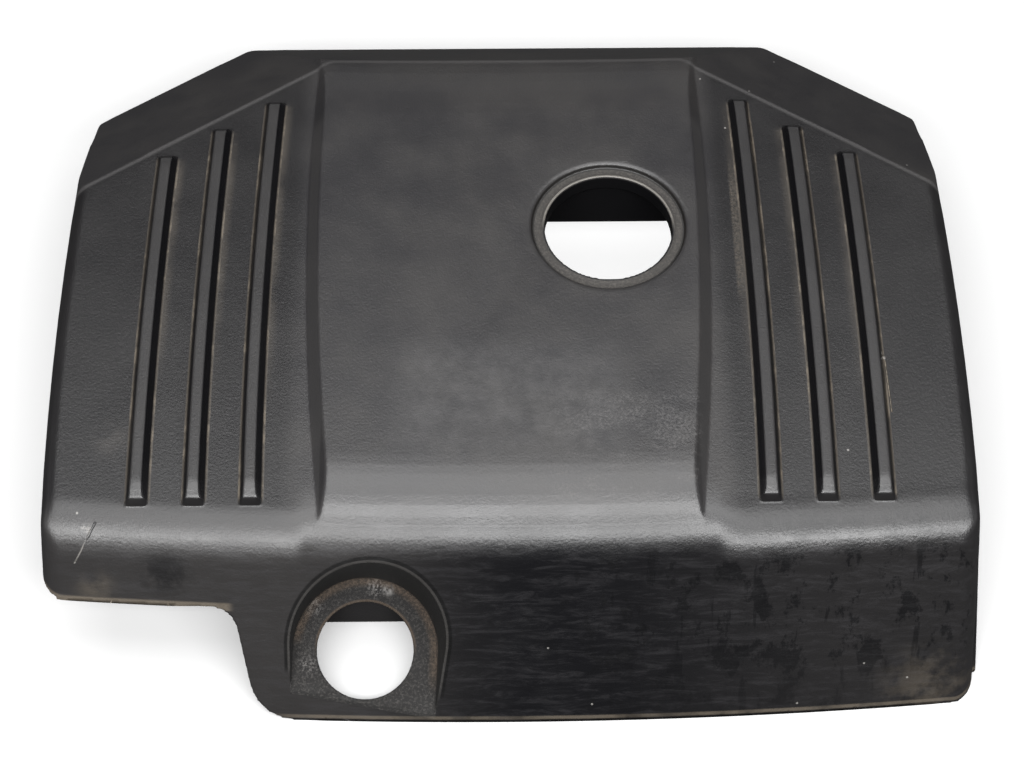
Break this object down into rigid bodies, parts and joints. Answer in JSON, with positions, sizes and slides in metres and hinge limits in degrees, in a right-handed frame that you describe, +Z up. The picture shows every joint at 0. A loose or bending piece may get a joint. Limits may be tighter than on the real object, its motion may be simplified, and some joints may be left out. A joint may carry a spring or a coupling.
{
  "type": "engine cover",
  "caption": "Moulded engine cover with a bowed top, raised centre panel and strips, a filler opening, a holed front pocket and rubber ball-stud grommets underneath.",
  "frame": {"origin": "middle of the bounding box in X and Y, at the level of the shell's lower rim", "axes": "+X to the right as seen from the front skirt, +Y to the rear (the sloping band), +Z up"},
  "size_m": [0.472, 0.393, 0.094],
  "materials": {
    "shell": "fine moulded grain, worn satin",
    "grommet": "moulded rubber"
  },
  "bodies": {
    "root": {"cover_shell": "shell", "grommet_front_left": "grommet", "grommet_front_right": "grommet", "grommet_rear_left": "grommet", "grommet_rear_right": "grommet"}
  },
  "joints": []
}
